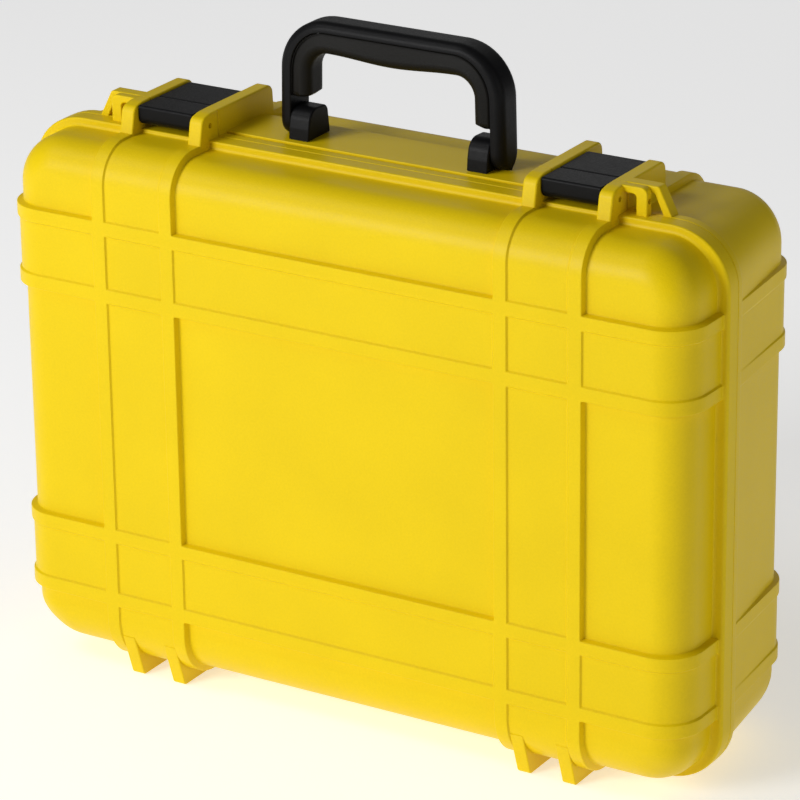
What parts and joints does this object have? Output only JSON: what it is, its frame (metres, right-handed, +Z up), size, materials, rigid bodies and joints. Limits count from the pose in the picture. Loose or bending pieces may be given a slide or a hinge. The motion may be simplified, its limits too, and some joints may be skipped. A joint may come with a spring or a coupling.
{
  "type": "hard tool case with tray",
  "caption": "Upright hard plastic tool case: ribbed lid and base on a hinge, over-centre latches, folding handle, padlock loops, rim seal and a lift-out tray with dividers.",
  "frame": {"origin": "middle of the footprint, on the floor under the hinge fins", "axes": "+X to the case's right along its length, +Y towards the back of the base, +Z up to the handle"},
  "size_m": [0.5008, 0.161, 0.4438],
  "materials": {
    "yellow_shell": "yellow polypropylene with a fine moulded grain, satin",
    "black_plastic": "black moulded nylon, satin, fine grain",
    "handle_grip": "black soft-touch overmould, matt",
    "seal_rubber": "dark grey foam rubber cord",
    "tray_plastic": "charcoal moulded plastic, matt, fine grain",
    "pin_steel": "plain zinc-plated steel"
  },
  "bodies": {
    "base": {"base_shell": "yellow_shell", "hinge_pin_left": "pin_steel", "hinge_pin_right": "pin_steel", "handle_bracket_left": "black_plastic", "handle_bracket_right": "black_plastic", "handle_pin_left": "pin_steel", "handle_pin_right": "pin_steel", "bracket_screw_left_front": "pin_steel", "bracket_screw_left_rear": "pin_steel", "bracket_screw_right_front": "pin_steel", "bracket_screw_right_rear": "pin_steel"},
    "lid": {"lid_shell": "yellow_shell", "lid_seal": "seal_rubber", "latch_pin_left": "pin_steel", "latch_pin_right": "pin_steel"},
    "latch_left": {"latch_link_left": "black_plastic", "lever_pin_left": "pin_steel"},
    "latch_right": {"latch_link_right": "black_plastic", "lever_pin_right": "pin_steel"},
    "lever_left": {"latch_lever_left": "black_plastic"},
    "lever_right": {"latch_lever_right": "black_plastic"},
    "handle": {"handle_frame": "black_plastic", "handle_grip": "handle_grip"},
    "tray": {"tool_tray": "tray_plastic", "tray_divider_left": "tray_plastic", "tray_divider_right": "tray_plastic"}
  },
  "joints": [
    {"name": "lid_hinge", "type": "hinge", "parent": "base", "child": "lid", "pos_m": [0, -0.0247, 0.0049], "axis": [1, 0, 0], "range_deg": [0, 110]},
    {"name": "latch_pivot_left", "type": "hinge", "parent": "lid", "child": "latch_left", "pos_m": [-0.14535, -0.0344, 0.3744], "axis": [1, 0, 0], "range_deg": [0, 100]},
    {"name": "lever_pivot_left", "type": "hinge", "parent": "latch_left", "child": "lever_left", "pos_m": [-0.14535, -0.0115, 0.3762], "axis": [1, 0, 0], "range_deg": [0, 75]},
    {"name": "latch_pivot_right", "type": "hinge", "parent": "lid", "child": "latch_right", "pos_m": [0.14535, -0.0344, 0.3744], "axis": [1, 0, 0], "range_deg": [0, 100]},
    {"name": "lever_pivot_right", "type": "hinge", "parent": "latch_right", "child": "lever_right", "pos_m": [0.14535, -0.0115, 0.3762], "axis": [1, 0, 0], "range_deg": [0, 75]},
    {"name": "handle_fold", "type": "hinge", "parent": "base", "child": "handle", "pos_m": [0, 0.0028, 0.3775], "axis": [1, 0, 0], "range_deg": [0, 88]},
    {"name": "tray_lift", "type": "slide", "parent": "base", "child": "tray", "axis": [0, -1, 0], "range_m": [0, 0.03]}
  ]
}
